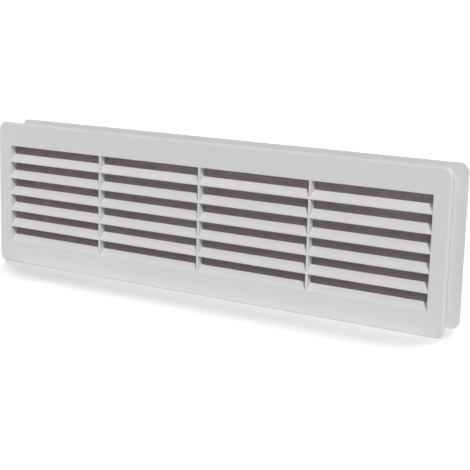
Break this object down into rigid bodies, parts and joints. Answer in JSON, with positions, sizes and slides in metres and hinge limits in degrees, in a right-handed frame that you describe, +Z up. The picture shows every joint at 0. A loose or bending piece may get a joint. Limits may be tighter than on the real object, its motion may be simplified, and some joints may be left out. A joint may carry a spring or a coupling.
{
  "type": "door vent grille",
  "caption": "Two-sided louvred air grille for a door: two plates with sloping slats, telescoping collars, a dark gauze behind the front slats and corner screws.",
  "frame": {"origin": "under the middle of the grille, on the surface that the two plates stand on", "axes": "+X along the width, +Y from the front plate to the rear plate, +Z up"},
  "size_m": [0.455, 0.0356, 0.133],
  "materials": {
    "front_plastic": "satin white injection moulding",
    "rear_plastic": "satin white injection moulding",
    "gauze": "fine dark brown-grey gauze",
    "zinc_steel": "bright zinc plating"
  },
  "bodies": {
    "front_half": {"front_grille": "front_plastic", "dust_screen": "gauze"},
    "rear_half": {"rear_grille": "rear_plastic", "screw_upper_right": "zinc_steel", "screw_upper_left": "zinc_steel", "screw_lower_right": "zinc_steel", "screw_lower_left": "zinc_steel"}
  },
  "joints": [
    {"name": "depth_slide", "type": "slide", "parent": "front_half", "child": "rear_half", "axis": [0, 1, 0], "range_m": [-0.0026, 0.0074]}
  ]
}
